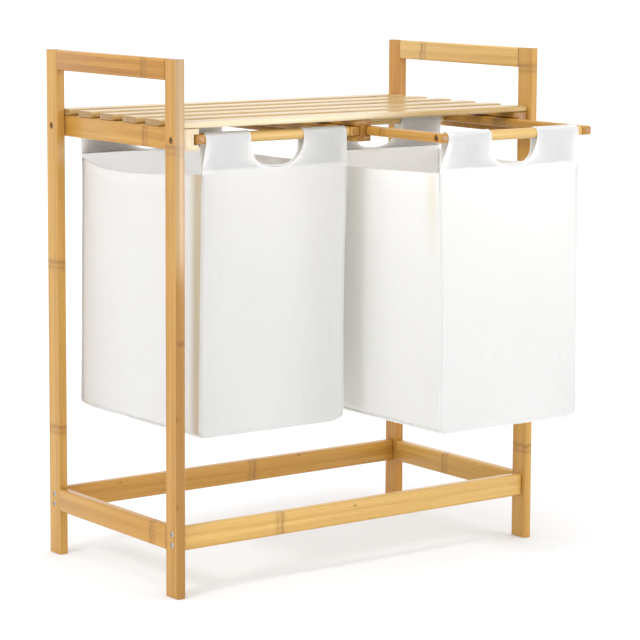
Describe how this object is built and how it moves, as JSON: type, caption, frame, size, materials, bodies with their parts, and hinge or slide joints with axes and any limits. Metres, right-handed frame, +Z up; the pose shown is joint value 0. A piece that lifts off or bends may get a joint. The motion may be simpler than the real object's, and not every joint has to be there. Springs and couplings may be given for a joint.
{
  "type": "laundry hamper with two bins",
  "caption": "Bamboo laundry hamper rack with a slatted shelf on top and side-by-side canvas bags that hang from pull-out frames, one pulled forward.",
  "frame": {"origin": "on the floor, below the middle of the box round the whole hamper as it is drawn, with its left bin in and its right bin out", "axes": "+X to the right along the front, +Y towards the back, +Z up"},
  "size_m": [0.64, 0.504, 0.74],
  "materials": {
    "bamboo": "satin lacquer",
    "pale_bamboo": "gloss lacquer",
    "canvas": "matt plain weave",
    "zinc": "zinc plated",
    "bronze": "dark yellow passivated"
  },
  "bodies": {
    "rack": {"left_front_leg": "bamboo", "left_front_lower_stretcher_screw": "zinc", "left_front_upper_stretcher_screw": "zinc", "left_front_shelf_screw": "bronze", "left_front_handle_rail_pin": "bamboo", "left_front_bottom_rail_pin": "bamboo", "left_rear_leg": "bamboo", "left_rear_lower_stretcher_screw": "zinc", "left_rear_upper_stretcher_screw": "zinc", "left_rear_shelf_screw": "bronze", "left_rear_handle_rail_pin": "bamboo", "left_rear_bottom_rail_pin": "bamboo", "left_handle_rail": "bamboo", "left_bottom_rail": "bamboo", "right_front_leg": "bamboo", "right_front_lower_stretcher_screw": "zinc", "right_front_upper_stretcher_screw": "zinc", "right_front_shelf_screw": "bronze", "right_front_handle_rail_pin": "bamboo", "right_front_bottom_rail_pin": "bamboo", "right_rear_leg": "bamboo", "right_rear_lower_stretcher_screw": "zinc", "right_rear_upper_stretcher_screw": "zinc", "right_rear_shelf_screw": "bronze", "right_rear_handle_rail_pin": "bamboo", "right_rear_bottom_rail_pin": "bamboo", "right_handle_rail": "bamboo", "right_bottom_rail": "bamboo", "front_stretcher": "bamboo", "rear_stretcher": "bamboo", "slat_1": "pale_bamboo", "slat_2": "pale_bamboo", "slat_3": "pale_bamboo", "slat_4": "pale_bamboo", "slat_5": "pale_bamboo", "slat_6": "pale_bamboo", "left_grooved_rail": "bamboo", "right_grooved_rail": "bamboo", "centre_runner": "bamboo"},
    "left_bin": {"left_bin_left_arm": "bamboo", "left_bin_front_left_arm_screw": "bronze", "left_bin_rear_left_arm_screw": "bronze", "left_bin_right_arm": "bamboo", "left_bin_front_right_arm_screw": "bronze", "left_bin_rear_right_arm_screw": "bronze", "left_bin_front_dowel": "bamboo", "left_bin_rear_dowel": "bamboo", "left_bin_canvas_bag": "canvas"},
    "right_bin": {"right_bin_left_arm": "bamboo", "right_bin_front_left_arm_screw": "bronze", "right_bin_rear_left_arm_screw": "bronze", "right_bin_right_arm": "bamboo", "right_bin_front_right_arm_screw": "bronze", "right_bin_rear_right_arm_screw": "bronze", "right_bin_front_dowel": "bamboo", "right_bin_rear_dowel": "bamboo", "right_bin_canvas_bag": "canvas"}
  },
  "joints": [
    {"name": "left_bin_slide", "type": "slide", "parent": "rack", "child": "left_bin", "axis": [0, -1, 0], "range_m": [0, 0.2]},
    {"name": "right_bin_slide", "type": "slide", "parent": "rack", "child": "right_bin", "axis": [0, -1, 0], "range_m": [-0.166, 0.034]}
  ]
}
